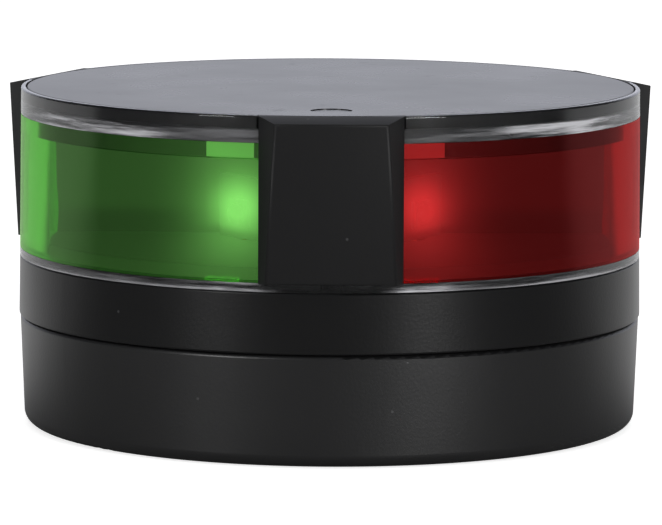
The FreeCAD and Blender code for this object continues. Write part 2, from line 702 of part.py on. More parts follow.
def make_clear_cap():
    body = new_body("clear_cap")
    top = [
        ("0", "window_top"),
        (draft_radius("window_top"), "window_top"),
        ("lens_radius", "total_height"),
        ("rim_inner", "total_height"),
        ("rim_inner", "plate_top"),
        ("0", "plate_top"),
    ]
    revolve(body, outline(body, "plate_outline", "XZ_Plane", top))
    round_edges(body, "rim_edge", "rim_round", lambda e: is_ring_edge(e, "total_height", "lens_radius"))
    column = [
        ("lens_inner", "lens_seat"),
        (draft_radius("lens_seat"), "lens_seat"),
        (draft_radius("window_top"), "window_top"),
        ("rebate_inner", "window_top"),
        ("rebate_inner", "rebate_foot"),
        ("lens_inner", "rebate_foot"),
    ]
    web = [
        ("boss_reach", "lens_seat"),
        ("lens_inner", "lens_seat"),
        ("lens_inner", "rebate_foot"),
        ("rebate_inner", "rebate_foot"),
        ("rebate_inner", "window_top"),
        ("boss_reach", "window_top"),
    ]
    for name, azimuth in SCREENS.items():
        turn = f"{azimuth} - 90"
        revolve(body, outline(body, f"column_{name}", "XZ_Plane", column, turn=turn), "column_angle")
        revolve(body, outline(body, f"web_{name}", "XZ_Plane", web, turn=turn), "web_angle")
    foot = [
        ("lens_inner", "lens_seat"),
        (draft_radius("lens_seat"), "lens_seat"),
        (draft_radius("window_foot"), "window_foot"),
        ("lens_inner", "window_foot"),
    ]
    revolve(body, outline(body, "foot_outline", "XZ_Plane", foot))
    bosses = [(*at_azimuth(azimuth, "boss_reach"), "boss_radius") for azimuth in SCREENS.values()]
    extrude(body, circles(body, "bosses", bosses, lift="deck_top"), "window_top - deck_top")
    pilots = [(x, y, "cap_screw_radius + thread_gap") for x, y, _ in bosses]
    extrude(body, circles(body, "pilots", pilots, lift="deck_top"), "cap_screw_length", cut=True)
    past = "lens_radius + clear_past"
    hook = rectangle("disc_radius", "plate_top", past, "total_height + clear_past")
    slot = rectangle(
        "lens_radius - tongue_depth - fit_gap",
        "screen_foot + tongue_foot - fit_gap",
        past,
        "screen_foot + tongue_foot + tongue_length + fit_gap",
    )
    for name, azimuth in SCREENS.items():
        turn = f"{azimuth} - 90"
        notch = outline(body, f"notch_{name}", "XZ_Plane", hook, turn=turn)
        revolve(body, notch, "2 * asin((screen_half_width + fit_gap) / disc_radius)", cut=True)
        groove = outline(body, f"slot_{name}", "XZ_Plane", slot, turn=turn)
        revolve(body, groove, "2 * asin((tongue_width / 2 + fit_gap) / lens_radius)", cut=True)


def make_screen(name, azimuth):
    """A black screen that hides a column: a leaning face with chamfered sides, hooked over the rim."""
    body = new_body(name)
    inside = "-(lens_radius - 2 * clear_past)"
    edge = "-(sqrt(lens_radius ^ 2 - screen_half_width ^ 2) + screen_edge)"
    ends = [
        ("screen_foot", "screen_face_foot", "-(lens_radius + screen_proud_foot)"),
        ("total_height", "screen_face_top", "-(lens_radius + screen_proud_top)"),
    ]
    sketches = []
    for word, (level, half_face, front) in zip(("foot", "top"), ends):
        corners = [
            ("-screen_half_width", inside),
            ("screen_half_width", inside),
            ("screen_half_width", edge),
            (half_face, front),
            (f"-{half_face}", front),
            ("-screen_half_width", edge),
        ]
        sketches.append(outline(body, f"{name}_{word}", "XY_Plane", corners, lift=level))
    loft = body.newObject("PartDesign::AdditiveLoft", name + "_loft")
    loft.Profile = sketches[0]
    loft.Sections = sketches[1:]
    loft.Ruled = True
    doc.recompute()
    # the back follows the lens, and the hook over the rim stops at the top disc
    back = [
        ("0", "screen_foot - clear_past"),
        (f"{draft_radius('screen_foot')} + screen_back_gap", "screen_foot - clear_past"),
        ("lens_radius + screen_back_gap", "plate_top + fit_gap"),
        ("rim_inner", "plate_top + fit_gap"),
        ("rim_inner", "total_height + clear_past"),
        ("0", "total_height + clear_past"),
    ]
    revolve(body, outline(body, name + "_back", "XZ_Plane", back), cut=True)
    # the top falls away from the disc to the face
    face = "-(lens_radius + screen_proud_top)"
    fall = [
        ("-rim_inner", "total_height"),
        (face, "total_height - screen_drop"),
        (f"{face} - clear_past", "total_height - screen_drop"),
        (f"{face} - clear_past", "total_height + clear_past"),
        ("-rim_inner", "total_height + clear_past"),
    ]
    pocket = body.newObject("PartDesign::Pocket", name + "_fall_cut")
    pocket.Profile = outline(body, name + "_fall", "YZ_Plane", fall)
    pocket.Midplane = True
    bind(pocket, Length="4 * screen_half_width")
    doc.recompute()
    tongue = rectangle(
        "lens_radius - tongue_depth",
        "screen_foot + tongue_foot",
        "lens_radius + bite",
        "screen_foot + tongue_foot + tongue_length",
    )
    sketch = outline(body, name + "_tongue", "XZ_Plane", tongue, turn="-90")
    revolve(body, sketch, "2 * asin(tongue_width / 2 / lens_radius)")
    place(body, turn=azimuth)


def make_top_disc():
    body = new_body("top_disc")
    disc = rectangle("0", "plate_top + fit_gap", "disc_radius", "total_height")
    revolve(body, outline(body, "disc_outline", "XZ_Plane", disc))
    round_edges(
        body, "disc_edge", "disc_round", lambda e: is_ring_edge(e, "total_height", "disc_radius")
    )
    dimple = circles(body, "dimple", [("0", "-dimple_reach", "dimple_radius")], lift="total_height")
    extrude(body, dimple, "dimple_depth", cut=True, upward=False)


# ---------------------------------------------------------------- inside the lens


def make_light_core():
    body = new_body("light_core")
    floor = [
        ("0", "core_floor - core_floor_thickness"),
        ("core_radius - core_skirt", "core_floor - core_floor_thickness"),
        ("core_radius - core_skirt", "deck_top"),
        ("core_radius", "deck_top"),
        ("core_radius", "core_floor"),
        ("0", "core_floor"),
    ]
    revolve(body, outline(body, "core_floor_outline", "XZ_Plane", floor))
    half = "sqrt(core_radius ^ 2 - bulkhead_thickness ^ 2)"
    wall = rectangle(f"-({half})", "-bulkhead_front", half, "bulkhead_thickness - bulkhead_front")
    sketch = outline(body, "bulkhead_outline", "XY_Plane", wall, lift="core_floor")
    extrude(body, sketch, "flange_foot - core_floor")
    flange = rectangle("0", "flange_foot", "flange_radius", "flange_top")
    revolve(body, outline(body, "core_flange_outline", "XZ_Plane", flange))
    slot_inner = "boss_reach - boss_radius - boss_slot_gap"
    slot = rectangle(slot_inner, "deck_top - clear_past", "lens_radius", "window_top")
    for name, azimuth in SCREENS.items():
        sketch = outline(body, f"boss_slot_{name}", "XZ_Plane", slot, turn=f"{azimuth} - 90")
        revolve(body, sketch, "boss_slot_angle", cut=True)
    notch = rectangle("flange_radius - tab_depth", "flange_foot - bite", "lens_radius", "window_top")
    for side in SIDES:
        turn = f"{side}_tab_azimuth - 90"
        sketch = outline(body, f"{side}_tab_notch", "XZ_Plane", notch, turn=turn)
        revolve(body, sketch, "tab_angle", cut=True)
    holes = [(*at_azimuth(angle, pin_reach()), "pin_hole") for angle in SIDES.values()]
    sketch = circles(body, "core_pin_holes", holes, lift="deck_top")
    extrude(body, sketch, "core_floor - deck_top", cut=True)


def make_tabs():
    """White tabs let into the front of the core flange, one beside each edge of the bow screen."""
    inner = "flange_radius - tab_depth + fit_gap"
    block = rectangle(inner, "flange_foot", "flange_radius", "flange_top")
    for side in SIDES:
        body = new_body(f"{side}_tab")
        turn = f"{side}_tab_azimuth - 90"
        sketch = outline(body, f"{side}_tab_outline", "XZ_Plane", block, turn=turn)
        revolve(body, sketch, "tab_angle - 2 * fit_gap")


def make_divider():
    low = ("-divider_thickness / 2", "-divider_end", "core_floor")
    size = ("divider_thickness", "divider_end - bulkhead_front", "flange_foot - core_floor")
    add_part("divider", make_box("divider", low, size))


def make_led(side, azimuth):
    """An LED board on edge, with its package and dome, facing the middle of its sector."""
    board = new_body(f"{side}_led_board")
    half = "led_board_width / 2"
    plan = rectangle(f"-{half}", "-led_reach", half, "-led_reach + led_board_thickness")
    sketch = outline(board, f"{side}_led_board_outline", "XY_Plane", plan, lift="core_floor")
    extrude(board, sketch, "led_board_height")
    place(board, turn=azimuth)

    package = make_box(
        f"{side}_led_package",
        ("-led_size / 2", "-led_reach - led_thickness", "core_floor + led_height - led_size / 2"),
        ("led_size", "led_thickness", "led_size"),
    )
    dome = doc.addObject("Part::Sphere", f"{side}_led_dome")
    dome.Angle1 = 0.0
    bind(dome, Radius="led_dome")
    place(dome, y="-led_reach - led_thickness", z="core_floor + led_height", turn="90", axis=(1, 0, 0))
    whole = fuse(f"{side}_led", [package, dome])
    add_part(f"{side}_led", place(whole, turn=azimuth))


def make_pins():
    pins = []
    for side, azimuth in SIDES.items():
        pair = []
        for word, offset in (("a", "-pin_pitch / 2"), ("b", "pin_pitch / 2")):
            length = "core_floor + pin_rise - board_top"
            y = f"-{pin_reach()}"
            pair.append(make_rod(f"{side}_pin_{word}", offset, y, "board_top", "pin_radius", length))
        both = doc.addObject("Part::Compound", f"{side}_pins")
        both.Links = pair
        pins.append(place(both, turn=azimuth))
    group("board_pins", pins)


# ---------------------------------------------------------------- driver board and screws


def make_screws(name, spots, head_foot, head, head_height, shank, length):
    """Pan-head screws pointing up, with a straight slot, as separate solids in one node."""
    screws = []
    for number, (x, y) in enumerate(spots, start=1):
        cap = make_rod(f"{name}_{number}_head", x, y, head_foot, head, head_height)
        rod = make_rod(f"{name}_{number}_shank", x, y, head_foot, shank, f"{head_height} + {length}")
        slot = make_box(
            f"{name}_{number}_slot",
            (f"{x} - {head} - clear_past", f"{y} - screw_slot / 2", f"{head_foot} - clear_past"),
            (f"2 * ({head} + clear_past)", "screw_slot", f"{head_height} / 2 + clear_past"),
        )
        screws.append(cut(f"{name}_{number}_cut", fuse(f"{name}_{number}", [cap, rod]), [slot]))
    group(name, screws)


def make_driver():
    blank = make_rod("board_blank", "0", "0", "board_foot", "board_radius", "board_thickness")
    spots = [at_azimuth(angle, "post_reach") for angle in POSTS]
    hole_foot, hole_length = "board_foot - clear_past", "board_thickness + 2 * clear_past"
    holes = [
        make_rod(f"board_hole_{i}", x, y, hole_foot, "board_screw_radius + hole_gap", hole_length)
        for i, (x, y) in enumerate(spots, start=1)
    ]
    add_part("driver_board", cut("board_drilled", blank, holes))
    make_screws(
        "board_screws",
        spots,
        "board_foot - board_screw_head_height",
        "board_screw_head",
        "board_screw_head_height",
        "board_screw_radius",
        "(board_thickness + board_screw_grip)",
    )
    make_screws(
        "cap_screws",
        [at_azimuth(azimuth, "boss_reach") for azimuth in SCREENS.values()],
        "deck_foot - cap_screw_head_height",
        "cap_screw_head",
        "cap_screw_head_height",
        "cap_screw_radius",
        "cap_screw_length",
    )
    tracks = []
    for word, inner in (("inner", "inner_track"), ("outer", "outer_track")):
        foot = "board_foot - track_thickness"
        outer = f"{inner} + track_width"
        disc = make_rod(f"{word}_track_disc", "0", "0", foot, outer, "track_thickness")
        drop, depth = f"{foot} - clear_past", "track_thickness + 2 * clear_past"
        hole = make_rod(f"{word}_track_hole", "0", "0", drop, inner, depth)
        tracks.append(cut(f"{word}_track", disc, [hole]))
    group("contact_rings", tracks)


# Parts soldered on top of the driver board: corner x and y, then length, width and height.
CHIPS = {
    "regulator": (-15, 6, 5, 6, 1.6),
    "bridge_rectifier": (10, 6, 6.5, 5, 1.8),
    "suppressor": (-4, 22, 7, 4, 2.3),
}
# Rows of equal parts: first corner x and y, pitch along x, then length, width and height.
CHIP_ROWS = {
    "capacitors": (-6, -18, 4.4, 3.2, 2.5, 2),
    "resistors": (-8, -24, 4.5, 3.1, 1.6, 0.6),
}
ROW_COUNT = 3


def make_components():
    radius, height = "inductor_radius", "inductor_height"
    add_part("inductor", make_rod("inductor_can", "0", "inductor_y", "board_top", radius, height))
    for name, (x, y, *size) in CHIPS.items():
        low = (str(x), str(y), "board_top")
        add_part(name, make_box(name, low, [str(side) for side in size]))
    for name, (x, y, pitch, *size) in CHIP_ROWS.items():
        row = []
        for i in range(ROW_COUNT):
            low = (str(x + i * pitch), str(y), "board_top")
            row.append(make_box(f"{name}_{i + 1}", low, [str(side) for side in size]))
        group(name, row)


# ---------------------------------------------------------------- build


make_mount_base()
make_ring("deck_gasket", "gasket_inner + fit_gap", "gasket_outer - fit_gap", "0", "gasket_thickness")
make_grommet()
make_terminals()
make_head_ring()
make_head_seal()
make_ring(
    "lens_seal",
    "lens_seal_inner + fit_gap",
    "lens_seal_outer - fit_gap",
    "lens_seat - lens_seal_thickness",
    "lens_seat",
)
make_clear_cap()
make_window("green_window", "-sector / 2")
make_window("red_window", "sector / 2")
make_rear_blind()
make_top_disc()
for screen, screen_azimuth in SCREENS.items():
    make_screen(screen, screen_azimuth)
make_light_core()
make_tabs()
make_divider()
for led_side, led_azimuth in SIDES.items():
    make_led(led_side, led_azimuth)
make_pins()
make_driver()
make_components()
doc.recompute()

for thing in doc.Objects:
    if "Invalid" in thing.State or "Error" in thing.State:
        raise ValueError(f"{thing.Name} failed: {thing.State}")
for name, thing in parts.items():
    if thing.Shape.isNull() or not thing.Shape.isValid():
        raise ValueError(f"{name} has no valid shape")

os.makedirs("parts", exist_ok=True)
for name, thing in parts.items():
    thing.Shape.exportStep(f"parts/{name}.step")
    box = thing.Shape.BoundBox
    print(
        f"{name:20s} solids {len(thing.Shape.Solids)}  volume {thing.Shape.Volume:9.1f}"
        f"  z {box.ZMin:6.2f} to {box.ZMax:6.2f}"
    )
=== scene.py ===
import math

import bmesh
import bpy
from mathutils import Matrix, Vector


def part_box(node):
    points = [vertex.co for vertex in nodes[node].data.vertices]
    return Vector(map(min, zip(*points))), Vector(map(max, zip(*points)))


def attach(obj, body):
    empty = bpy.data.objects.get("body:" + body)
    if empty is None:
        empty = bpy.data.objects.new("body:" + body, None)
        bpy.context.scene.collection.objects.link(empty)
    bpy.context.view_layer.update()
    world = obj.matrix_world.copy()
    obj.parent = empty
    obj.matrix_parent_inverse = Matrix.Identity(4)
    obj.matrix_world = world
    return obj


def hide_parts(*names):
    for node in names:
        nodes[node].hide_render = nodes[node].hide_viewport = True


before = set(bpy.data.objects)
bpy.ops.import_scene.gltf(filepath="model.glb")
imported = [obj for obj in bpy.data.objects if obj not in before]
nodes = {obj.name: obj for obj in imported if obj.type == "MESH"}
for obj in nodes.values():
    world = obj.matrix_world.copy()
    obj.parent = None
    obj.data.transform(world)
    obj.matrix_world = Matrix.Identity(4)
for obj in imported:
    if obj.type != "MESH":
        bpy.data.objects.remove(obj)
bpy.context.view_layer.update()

# Compact bi-colour navigation light. Metres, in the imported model's frame: +Z up, bow at -Y,
# port (red) at +X, starboard (green) at -X.

MM = 0.001

# ---------------------------------------------------------------- sizes read from the frame

lens_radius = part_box("clear_cap")[1].x
lens_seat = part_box("head_ring")[1].z
window_low, window_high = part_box("green_window")
core_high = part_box("light_core")[1]
disc_low, disc_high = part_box("top_disc")
core_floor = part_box("port_led_board")[0].z
LEDS = {side: sum(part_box(side + "_led"), Vector()) / 2 for side in ("port", "starboard")}

# Faces inside a box: the inner ones of the lens wall, the clear rim and the rebate, and the flange's foot.
lens_inner = lens_radius - 3.6 * MM
rim_inner = disc_high.x + 0.15 * MM
rebate_inner = core_high.x + 0.15 * MM
flange_foot = core_high.z - 1.9 * MM

POLYCARBONATE_INDEX = 1.58
POLISH = 0.02


# ---------------------------------------------------------------- shader helpers


class Value:
    """A shader socket in a Python expression: each operator adds a Math node."""

    def __init__(self, shader, socket):
        self.shader = shader
        self.socket = socket

    def math(self, operation, *others):
        inputs = dict(enumerate((self, *others)))
        return self.shader.node("ShaderNodeMath", {"operation": operation}, inputs)

    def flipped(self, operation, other):
        return self.shader.node("ShaderNodeMath", {"operation": operation}, {0: other, 1: self})

    def __add__(self, other):
        return self.math("ADD", other)

    def __sub__(self, other):
        return self.math("SUBTRACT", other)

    def __mul__(self, other):
        return self.math("MULTIPLY", other)

    def __truediv__(self, other):
        return self.math("DIVIDE", other)

    def __gt__(self, other):
        return self.math("GREATER_THAN", other)

    def __lt__(self, other):
        return self.math("LESS_THAN", other)

    def __neg__(self):
        return self.math("MULTIPLY", -1)

    def __abs__(self):
        return self.math("ABSOLUTE")

    def __rsub__(self, other):
        return self.flipped("SUBTRACT", other)

    def __rtruediv__(self, other):
        return self.flipped("DIVIDE", other)

    __radd__ = __add__
    __rmul__ = __mul__

    def exp(self):
        return self.math("EXPONENT")

    def root(self):
        return self.math("SQRT")

    def squared(self):
        return self * self

    def clamp(self):
        return self.math("MINIMUM", 1).math("MAXIMUM", 0)

    def ramp(self, low, high):
        """Runs smoothly from 0 at low to 1 at high."""
        settings = {"interpolation_type": "SMOOTHSTEP"}
        return self.shader.node("ShaderNodeMapRange", settings, {0: self, 1: low, 2: high, 3: 0, 4: 1})

    def up_to(self, limit, soft):
        """1 up to a limit, falling smoothly to 0 just past it."""
        return 1 - self.ramp(limit, limit + soft)

    def band(self, low, high, soft):
        """1 between two limits, falling smoothly to 0 past each."""
        return self.ramp(low - soft, low) * self.up_to(high, soft)


class Shader:
    """A material's or the world's node tree."""

    def __init__(self, block, coordinates="Object"):
        block.use_nodes = True
        self.block = block
        self.tree = block.node_tree
        self.tree.nodes.clear()
        self.place = self.node("ShaderNodeTexCoord", output=coordinates)
        axes = self.node("ShaderNodeSeparateXYZ", None, {0: self.place}, output=(0, 1, 2))
        self.x, self.y, self.z = axes

    def node(self, kind, settings=None, inputs=None, output=0):
        """Adds a node of a type, sets it up, fills its sockets and returns one output or several."""
        made = self.tree.nodes.new(kind)
        for key, setting in (settings or {}).items():
            setattr(made, key, setting)
        for key, given in (inputs or {}).items():
            if isinstance(given, Value):
                self.tree.links.new(given.socket, made.inputs[key])
            else:
                made.inputs[key].default_value = given
        if isinstance(output, tuple):
            return [Value(self, made.outputs[key]) for key in output]
        return Value(self, made.outputs[output])

    def mix(self, factor, low, high):
        """A colour between two colours."""
        pair = {
            6: low if isinstance(low, Value) else (*low, 1),
            7: high if isinstance(high, Value) else (*high, 1),
        }
        return self.node("ShaderNodeMix", {"data_type": "RGBA"}, {0: factor, **pair}, output=2)

    def noise(self, scale, detail, rough=0.5, vector=None):
        vector = vector or self.place
        inputs = {"Vector": vector, "Scale": scale, "Detail": detail, "Roughness": rough}
        return self.node("ShaderNodeTexNoise", None, inputs)

    def stretched(self, x, y, z):
        """Object coordinates scaled along each axis."""
        return self.node("ShaderNodeMapping", None, {"Vector": self.place, "Scale": (x, y, z)})

    def bump(self, height, distance):
        return self.node("ShaderNodeBump", None, {"Height": height, "Distance": distance})

    def reach(self):
        """Distance from the light's axis."""
        return (self.x.squared() + self.y.squared()).root()

    def principled(self, **inputs):
        """A Principled closure. Underscores stand for spaces in socket names."""
        named = {}
        for key, given in inputs.items():
            if isinstance(given, tuple) and len(given) == 3:
                given = (*given, 1)
            named[key.replace("_", " ")] = given
        return self.node("ShaderNodeBsdfPrincipled", None, named)

    def polycarbonate(self, colour, normal):
        """Polished clear or tinted plastic that light goes through."""
        inputs = {"Color": (*colour, 1), "Roughness": POLISH, "IOR": POLYCARBONATE_INDEX, "Normal": normal}
        return self.node("ShaderNodeBsdfGlass", None, inputs)

    def blend(self, factor, low, high):
        return self.node("ShaderNodeMixShader", None, {0: factor, 1: low, 2: high})

    def surface(self, closure):
        """Ends the tree with a closure."""
        is_world = isinstance(self.block, bpy.types.World)
        kind = "ShaderNodeOutputWorld" if is_world else "ShaderNodeOutputMaterial"
        self.tree.links.new(closure.socket, self.tree.nodes.new(kind).inputs["Surface"])
        return self.block


def new_finish(name):
    return Shader(bpy.data.materials.new(name))


def grey(level):
    return (level, level, level)


def scaled(colour, factor):
    return tuple(min(1.0, factor * channel) for channel in colour)


def falloff(square, spread):
    """A squared distance as the exponent of a bell curve with a spread."""
    return square * (0.5 / spread**2)


# ---------------------------------------------------------------- finishes


def black_moulding(name, colour, roughness, gloss=0.4, grain=0.012):
    """Satin black plastic with a fine spark-eroded grain, faint scuffs and a little dust."""
    s = new_finish(name)
    fine = s.noise(scale=2600, detail=3)
    broad = s.noise(scale=55, detail=4)
    scuffs = s.noise(scale=260, detail=5, rough=0.7, vector=s.stretched(1, 1, 0.12)).ramp(0.62, 0.74)
    cells = {"Vector": s.place, "Scale": 190}
    speck = s.node("ShaderNodeTexVoronoi", {"feature": "F1"}, cells, output="Distance")
    dust = 1 - speck.ramp(0.02, 0.045)
    tone = s.mix(broad, scaled(colour, 0.86), scaled(colour, 1.16))
    tone = s.mix(dust * 0.25, tone, (0.16, 0.16, 0.165))
    return s.surface(
        s.principled(
            Base_Color=tone,
            Roughness=(roughness + (broad - 0.5) * 0.10 + scuffs * 0.05).clamp(),
            Normal=s.bump(fine + dust * 0.6, grain * MM),
            Specular_IOR_Level=gloss,
        )
    )


def painted_shade_black(s):
    """Flat black: painted shade laid on plastic where it meets or stands behind dark parts."""
    return s.principled(Base_Color=(0.008, 0.008, 0.0085), Roughness=0.5, Specular_IOR_Level=0.15)


def tinted_lens(name, tint):
    """Coloured polycarbonate with faint flow lines, and painted shade in flat black at its foot and at its
    rebate's ends.
    """
    s = new_finish(name)
    flow = s.noise(scale=140, detail=2, vector=s.stretched(1, 1, 0.35))
    # Painted shade: flat black on the inner face at the rebate, most towards the sides, and on the foot.
    rebate = s.reach().up_to(rebate_inner + 0.05 * MM, 0.1 * MM)
    rebate = rebate * s.z.ramp(flange_foot - 0.3 * MM, flange_foot - 0.1 * MM)
    foot = s.z.up_to(window_low.z + 0.01 * MM, 0.02 * MM)
    aside = abs(s.x)
    ends = aside.ramp(26 * MM, 34 * MM) * aside.up_to(34.9 * MM, 0.7 * MM)
    lens_painted_shade = (rebate * ends * 0.9 + foot * 0.5).clamp()
    lens = s.polycarbonate(tint, s.bump(flow, 0.03 * MM))
    return s.surface(s.blend(lens_painted_shade, lens, painted_shade_black(s)))


def clear_moulding():
    """Clear polycarbonate: painted shade in flat black where it meets or stands behind dark parts, and
    painted reflections over the windows and in its foot.
    """
    s = new_finish("clear_polycarbonate")
    reach, aside = s.reach(), abs(s.x)
    skin = 0.05 * MM

    # Painted shade: flat black under the disc, behind the rim, on the columns' inner faces and at the seal.
    under_disc = s.z.band(disc_low.z - 0.09 * MM, disc_low.z + skin, 0.01 * MM)
    under_disc = under_disc * reach.up_to(disc_high.x, skin)
    behind_rim = s.z.ramp(disc_low.z, disc_low.z + skin) * reach.up_to(rim_inner + 0.02 * MM, 0.06 * MM)
    columns = s.z.up_to(window_high.z - 0.5 * MM, 0.1 * MM) * reach.up_to(lens_inner + 0.2 * MM, 0.1 * MM)
    seal_painted_shade = s.z.up_to(lens_seat + 0.01 * MM, 0.02 * MM)
    dark = (under_disc + behind_rim + columns + seal_painted_shade).clamp()

    # Painted reflections: streaked pale white mixed in over the windows, most at the sides, and in its foot,
    # most by the bow screen, with a painted highlight along the foot's bottom line.
    streaks = s.noise(scale=110, detail=4, rough=0.65, vector=s.stretched(0.5, 0.5, 9)).ramp(0.35, 0.7)
    over_windows = s.z.band(window_high.z - 0.2 * MM, disc_low.z - 0.3 * MM, 0.3 * MM)
    shine = aside.band(24 * MM, 34 * MM, 5 * MM)
    foot = s.z.up_to(window_low.z, 0.3 * MM) * aside.ramp(5.5 * MM, 9.5 * MM)
    edges = aside.band(10 * MM, 13 * MM, 3 * MM)
    line = s.z.up_to(lens_seat + 0.2 * MM, 0.15 * MM)
    painted_reflection = over_windows * (shine * 0.9 + 0.22) + foot * (edges * 0.6 + line * 0.4 + 0.22)

    flow = s.noise(scale=90, detail=3, rough=0.55, vector=s.stretched(1, 1, 0.3))
    clear = s.polycarbonate((0.95, 0.955, 0.965), s.bump(flow, 0.04 * MM))
    reflection_white = s.principled(Base_Color=(0.62, 0.62, 0.65), Roughness=0.45)
    return s.surface(s.blend(dark, s.blend(painted_reflection * streaks, clear, reflection_white), painted_shade_black(s)))


def plain(name, colour, roughness, metallic=0.0, grain=0.01):
    """A simple finish with a little grain and tone."""
    s = new_finish(name)
    fine = s.noise(scale=900, detail=3)
    broad = s.noise(scale=70, detail=3)
    tone = s.mix(broad, scaled(colour, 0.85), scaled(colour, 1.12))
    return s.surface(
        s.principled(
            Base_Color=tone,
            Roughness=(roughness + (fine - 0.5) * 0.15).clamp(),
            Metallic=metallic,
            Normal=s.bump(fine, grain * MM),
        )
    )


def led_glow(s):
    """Painted light round each LED, as emission on the surfaces: a bright heart, dimmer on the floor, inside
    a taller and wider veil.

    Both run aft and a little down, so that what lies behind an LED is lit as one with it.
    """
    heart_level, heart_spread = 0.74, 2.3 * MM
    veil_level, veil_across, veil_up, veil_along = 0.30, 4.4 * MM, 7.4 * MM, 40 * MM
    above_led, fall_aft, heart_aft = 0.8 * MM, 0.13, 0.02
    raised = s.z.ramp(core_floor, core_floor + 1.6 * MM) * 0.75 + 0.25
    total = 0
    for spot in LEDS.values():
        across, along = s.x - spot.x, s.y - spot.y
        up = s.z - (spot.z + above_led) + along * fall_aft
        across, along, up = across.squared(), along.squared(), up.squared()
        heart = (-falloff(across + up + along * heart_aft, heart_spread)).exp() * raised
        veil = falloff(across, veil_across) + falloff(up, veil_up) + falloff(along, veil_along)
        total = heart * heart_level + (-veil).exp() * veil_level + total
    return total


def lit_surface(s, colour, level, roughness):
    """Ends a material whose own light follows a level from 0 to 1."""
    return s.surface(
        s.principled(
            Base_Color=colour,
            Roughness=roughness,
            Specular_IOR_Level=0.1,
            Normal=s.bump(s.noise(scale=1500, detail=3), 0.01 * MM),
            Emission_Color=s.mix(level.clamp(), grey(0), grey(1)),
            Emission_Strength=1.0,
        )
    )


def lit_level(s):
    """Painted light: how bright the dark surfaces inside the lens glow, a little more on the port side."""
    port = s.x > 0
    return port * 0.023 + 0.076 + led_glow(s)


def lit(name, colour):
    """A small dark part near an LED, with the painted light of the moulding round it."""
    s = new_finish(name)
    return lit_surface(s, colour, lit_level(s), roughness=0.7)


def white_tab():
    """White plastic, with painted light from inside as its own glow."""
    s = new_finish("white_tab")
    return lit_surface(s, grey(0.3), led_glow(s) * 0.1 + 0.40, roughness=0.5)


def core_moulding():
    """The dark moulding behind the windows, lit by painted light: in painted shade its floor and flange are
    darker than its wall, its lower rim lighter, and the flange lightest abreast of each LED.
    """
    s = new_finish("core_moulding")
    floor = s.z.up_to(core_floor + 2 * MM, 2 * MM)
    rim = s.z.up_to(core_floor - 0.3 * MM, 0.4 * MM)
    inside = lit_level(s) - floor * 0.026 + rim * 0.02
    flange = s.z.ramp(flange_foot - 0.4 * MM, flange_foot + 0.1 * MM)
    # Painted light on the flange, brightest abreast of each LED.
    led_aside, lit_spread = 11 * MM, 9 * MM
    from_led = abs(s.x) - led_aside
    edge = (-falloff(from_led.squared(), lit_spread)).exp() * 0.06 + 0.02
    return lit_surface(s, grey(0.008), inside * (1 - flange) + edge * flange, roughness=0.5)


MATERIALS = {
    "base": black_moulding("base_moulding", (0.008, 0.008, 0.0084), 0.34, gloss=0.64),
    "ring": black_moulding("ring_moulding", (0.007, 0.007, 0.0073), 0.30, gloss=0.26),
    "screen": black_moulding("screen_moulding", (0.011, 0.011, 0.0115), 0.46, gloss=0.25),
    "disc": black_moulding("disc_moulding", (0.014, 0.014, 0.016), 0.28, gloss=0.5, grain=0.006),
    "blind": black_moulding("blind_moulding", (0.011, 0.011, 0.0115), 0.40),
    "green": tinted_lens("starboard_green", (0.505, 0.905, 0.39)),
    "red": tinted_lens("port_red", (0.79, 0.167, 0.167)),
    "clear": clear_moulding(),
    "core": core_moulding(),
    "tab": white_tab(),
    "led_board": lit("black_board", grey(0.008)),
    "led": lit("led_package", (0.008, 0.008, 0.007)),
    "rubber": plain("black_rubber", grey(0.02), 0.75, grain=0.02),
    "silicone": plain("dark_silicone", (0.025, 0.025, 0.027), 0.6),
    "white": plain("white_nylon", (0.72, 0.71, 0.68), 0.45),
    "board": plain("green_board", (0.015, 0.11, 0.045), 0.35),
    "brass": plain("tinned_brass", (0.75, 0.6, 0.33), 0.3, metallic=1.0),
    "steel": plain("stainless_steel", (0.62, 0.62, 0.6), 0.3, metallic=1.0),
    "chip": plain("chip_epoxy", (0.018, 0.018, 0.019), 0.5),
    "ceramic": plain("tan_ceramic", (0.42, 0.30, 0.18), 0.4),
}

NODE_FINISH = {
    "mount_base": "base",
    "head_ring": "ring",
    "bow_screen": "screen",
    "port_screen": "screen",
    "starboard_screen": "screen",
    "top_disc": "disc",
    "rear_blind": "blind",
    "green_window": "green",
    "red_window": "red",
    "clear_cap": "clear",
    "light_core": "core",
    "divider": "core",
    "port_tab": "tab",
    "starboard_tab": "tab",
    "port_led_board": "led_board",
    "starboard_led_board": "led_board",
    "port_led": "led",
    "starboard_led": "led",
    "deck_gasket": "rubber",
    "cable_grommet": "rubber",
    "head_seal": "silicone",
    "lens_seal": "silicone",
    "terminal_block": "white",
    "clamp_screws": "steel",
    "contact_leaves": "brass",
    "contact_rings": "brass",
    "board_pins": "brass",
    "driver_board": "board",
    "board_screws": "steel",
    "cap_screws": "steel",
    "inductor": "chip",
    "regulator": "chip",
    "bridge_rectifier": "chip",
    "suppressor": "chip",
    "capacitors": "ceramic",
    "resistors": "chip",
}
for node_name, finish in NODE_FINISH.items():
    mesh = nodes[node_name].data
    mesh.materials.clear()
    mesh.materials.append(MATERIALS[finish])


# ---------------------------------------------------------------- rounded screens


def proud(edge):
    """True for an edge that stands clear of the lens."""
    return all(math.hypot(v.co.x, v.co.y) > lens_radius + 0.3 * MM for v in edge.verts)


